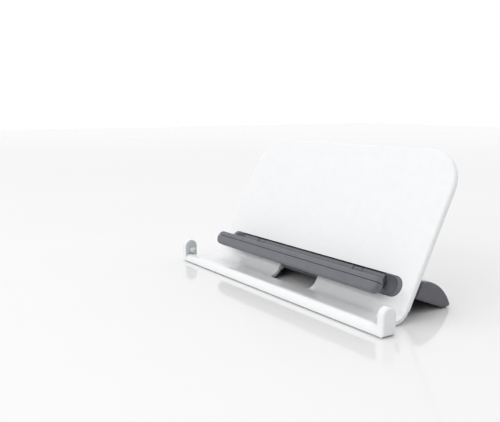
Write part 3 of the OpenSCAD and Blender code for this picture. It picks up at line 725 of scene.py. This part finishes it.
peg = peg_rod("right_dome_peg", PEG_TIP, PEG_END, PEG_R, 56)
round_edges(peg, PEG_R - 0.1, 9, on_plane(0, PEG_TIP))
join(peg, peg_rod("collar", COLLAR_START, PEG_END, COLLAR_R, 56))
cut(peg, peg_rod("spring_hole", SPRING_HOLE_START, 137, SPRING_HOLE_R, 40))
soften(peg, 0.08, 1, 50)
left_peg = peg.copy()
left_peg.data = peg.data.copy()
left_peg.name = "left_dome_peg"
scene_items.link(left_peg)
left_peg.scale = (-1, 1, 1)
apply_place(left_peg)
bpy.ops.object.mode_set(mode="EDIT")
bpy.ops.mesh.select_all(action="SELECT")
bpy.ops.mesh.normals_make_consistent(inside=False)
bpy.ops.object.mode_set(mode="OBJECT")
finished(peg, "right_peg", "peg_grey", peg_grey, "right_peg")
finished(left_peg, "left_peg", "peg_grey", peg_grey, "left_peg")

# %% [markdown]
# The coil springs are copies of the imported ones, each with a mesh of its
# own.  A spring gets shorter when its peg goes in.

# %% Springs and liners
for side, way in (("left", -1), ("right", 1)):
    spring = soften(copy_of(side + "_peg_spring", side + "_coil_spring"), 0, 1, 60)
    finished(spring, "base", "steel", steel, side + "_peg_spring")
    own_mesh(spring)
    cap = soften(copy_of(side + "_ear_cap", side + "_ear_liner"), 0.3, 3, 40)
    finished(cap, "base", "ear_grey", ear_grey, side + "_ear_cap")

# %% [markdown]
# ## Screws
# Each screw is a short rod with a wide head, and two crossed blocks cut the
# driver's recess.  One screw is modelled, and copies are turned to face out of
# the surface that they hold down.  Arrays could repeat them, but the screws
# don't stand in even rows.

# %% Screws with a cross recess
HEAD_HEIGHT, RECESS_HALF, RECESS_DEPTH = 1.05, 0.17, 0.6


def screw(name, head, shank, length, tapered=True):
    """A screw along -z whose head's top is at z = 0 and may taper down to the shank."""
    piece = rod(name, (0, 0, -length), (0, 0, -0.4), shank, 24)
    cap = rod("head", (0, 0, -HEAD_HEIGHT), (0, 0, 0), head, 40)
    if tapered:
        pick_edges(cap, on_plane(2, -HEAD_HEIGHT))
        bpy.ops.transform.resize(value=(shank / head,) * 2 + (1,))
        bpy.ops.object.mode_set(mode="OBJECT")
    join(piece, cap)
    for turn in (45, 135):
        bar = block("recess", (-head * 0.62, -RECESS_HALF, -RECESS_DEPTH), (head * 0.62, RECESS_HALF, 1))
        bar.rotation_euler = (0, 0, math.radians(turn))
        apply_place(bar)
        cut(piece, bar)
    return soften(piece, 0.05, 1, 50)


def put_screws(name, model, body, places, direction, node):
    """Copies a screw to places in metres, facing a direction, as one piece."""
    copies = []
    for place in places:
        piece = model.copy()
        piece.data = model.data.copy()
        scene_items.link(piece)
        piece.rotation_euler = Vector(direction).to_track_quat("Z", "Y").to_euler()
        piece.location = place
        apply_place(piece)
        copies.append(piece)
    deselect()
    for piece in copies:
        piece.select_set(True)
    bpy.context.view_layer.objects.active = copies[0]
    bpy.ops.object.join()
    copies[0].name = name
    bpy.data.objects.remove(model)
    return finished(copies[0], body, "steel", steel, node)


# %% [markdown]
# The cover's and the bracket's screws face straight back from the leaning
# panel.  The foot's screws hold its belly cover, so they face down out of it.

# %% Placing the screws
BACKWARDS = LEAN @ Vector((0, 1, 0))
COVER_HEADS, BRACKET_HEADS, BRACKET_SCREWS_UP = 4.92, 13.5, 8.35  # how far behind the face, and how high
FOOT_HEADS = 0.1  # how far the foot's heads stand in from its belly line


def behind(x, across, up):
    return PANEL_ORIGIN + LEAN @ Vector((x * MM, across * MM, up * MM))


put_screws("cover_screw_set", screw("cover_screw", 1.9, 0.88, 3.8), "base",
           [behind(s * x, COVER_HEADS, up) for s in (-1, 1)
            for x, up in ((112.4, 28), (112.4, 84.2), (60.4, 108.2))],
           BACKWARDS, "cover_screws")
put_screws("bracket_screw_set", screw("bracket_screw", 2.25, 1.08, 8.3), "base",
           [behind(s * x, BRACKET_HEADS, BRACKET_SCREWS_UP) for s in (-1, 1) for x in (66, 109.65)],
           BACKWARDS, "bracket_screws")
belly_down = Vector((0, belly.y, -belly.x))
put_screws("foot_screw_set", screw("foot_screw", 2.0, 0.9, 6.2, tapered=False), "foot",
           [Vector((s * x, root.x + belly.x * d, root.y + belly.y * d)) * MM - belly_down * FOOT_HEADS * MM
            for s in (-1, 1) for x in (34, 102) for d in (9, belly_length - 10)],
           belly_down, "foot_screws")

# %% [markdown]
# ## Rubber strips
# Moulded rubber has soft edges, so the strips get a wide bevel.

# %% Strips under the trough and the foot
strips = soften(copy_of("front_feet", "trough_strips"), 0.3, 3, 40)
finished(strips, "base", "rubber_dark", rubber_dark, "front_feet")
sole_pad = soften(copy_of("foot_pad", "sole_pad"), 0.3, 3, 40)
finished(sole_pad, "foot", "rubber_dark", rubber_dark, "foot_pad")

# %% [markdown]
# ## Camera, floor and light
# The camera looks from the right, a little above the stand.

# %% Camera
scene = bpy.context.scene
camera_data = bpy.data.cameras.new("camera")
camera = bpy.data.objects.new("camera", camera_data)
scene_items.link(camera)
camera.location = (0.4314, -0.36016, 0.1550)
aim = Vector((-0.81288, 0.56009, -0.15975))
camera.rotation_euler = aim.to_track_quat("-Z", "Y").to_euler()
camera_data.lens = 46.495
camera_data.sensor_width = 36
camera_data.clip_start = 0.01
scene.camera = camera
print("camera looks down by", round(math.degrees(math.asin(-aim.normalized().z)), 1), "degrees")

# %% [markdown]
# A pale glossy floor gives soft reflections.  It lies a hair below the strips,
# so that the two never share a plane.

# %% Floor
deselect()
bpy.ops.mesh.primitive_plane_add(size=8, location=(0, 0, -0.0002))
ground = bpy.context.object
ground.name = "pale_floor"
ground_look = bpy.data.materials.new("pale_floor")
ground_look.use_nodes = True
ground_shader = ground_look.node_tree.nodes["Principled BSDF"]
ground_shader.inputs["Base Color"].default_value = (0.84, 0.84, 0.84, 1)
ground_shader.inputs["Roughness"].default_value = 0.09
ground.data.materials.append(ground_look)

# %% [markdown]
# White plastic shows its shape only where some sides are darker than others.
# A wide lamp low in front is the strongest, and it lights the trough under
# the ledge.  Two weak ones, on the front left and above, add to the top faces.

# %% Lamps
def light_panel(name, place, towards, width, height, power):
    data = bpy.data.lights.new(name, "AREA")
    data.shape = "RECTANGLE"
    data.size, data.size_y = width, height
    data.energy = power
    lamp = bpy.data.objects.new(name, data)
    scene_items.link(lamp)
    lamp.location = place
    lamp.visible_glossy = False  # no lamp shows as a rectangle in the glossy floor
    lamp.rotation_euler = (Vector(towards) - Vector(place)).to_track_quat("-Z", "Y").to_euler()
    print(name, power, "watts")


light_panel("main_light", (-0.9, -1.1, 1.3), (0, 0, 0.05), 1.2, 1.0, 2)
light_panel("front_fill", (0.35, -1.7, 0.9), (0, 0, 0.03), 1.6, 0.9, 13)
light_panel("top_light", (0.2, 0.3, 1.6), (0, 0, 0.05), 1.6, 1.2, 2.5)

# %% [markdown]
# The room round the stand is white, and it darkens towards the front right,
# where the right ear's outer face looks.  More lamps on the other side could
# do this too, but they would make the rest brighter.  A dot product with one
# direction says how far round a point of the room lies.

# %% Room
room_world = bpy.data.worlds.new("studio") if not scene.world else scene.world
scene.world = room_world
room_world.use_nodes = True
room = room_world.node_tree
sky = room.nodes["Background"]
sky.inputs["Strength"].default_value = 1.0
direction = room.nodes.new("ShaderNodeTexCoord")
towards_dim = room.nodes.new("ShaderNodeVectorMath")
towards_dim.operation = "DOT_PRODUCT"
towards_dim.inputs[1].default_value = (0.83, -0.55, 0)
dimming = room.nodes.new("ShaderNodeMapRange")
dimming.inputs["From Min"].default_value = -0.1
dimming.inputs["From Max"].default_value = 0.9
dimming.inputs["To Min"].default_value = 1.0
dimming.inputs["To Max"].default_value = 0.4
room.links.new(direction.outputs["Generated"], towards_dim.inputs[0])
room.links.new(towards_dim.outputs["Value"], dimming.inputs["Value"])
room.links.new(dimming.outputs["Result"], sky.inputs["Color"])
scene.view_settings.view_transform = "Standard"
scene.view_settings.look = "None"
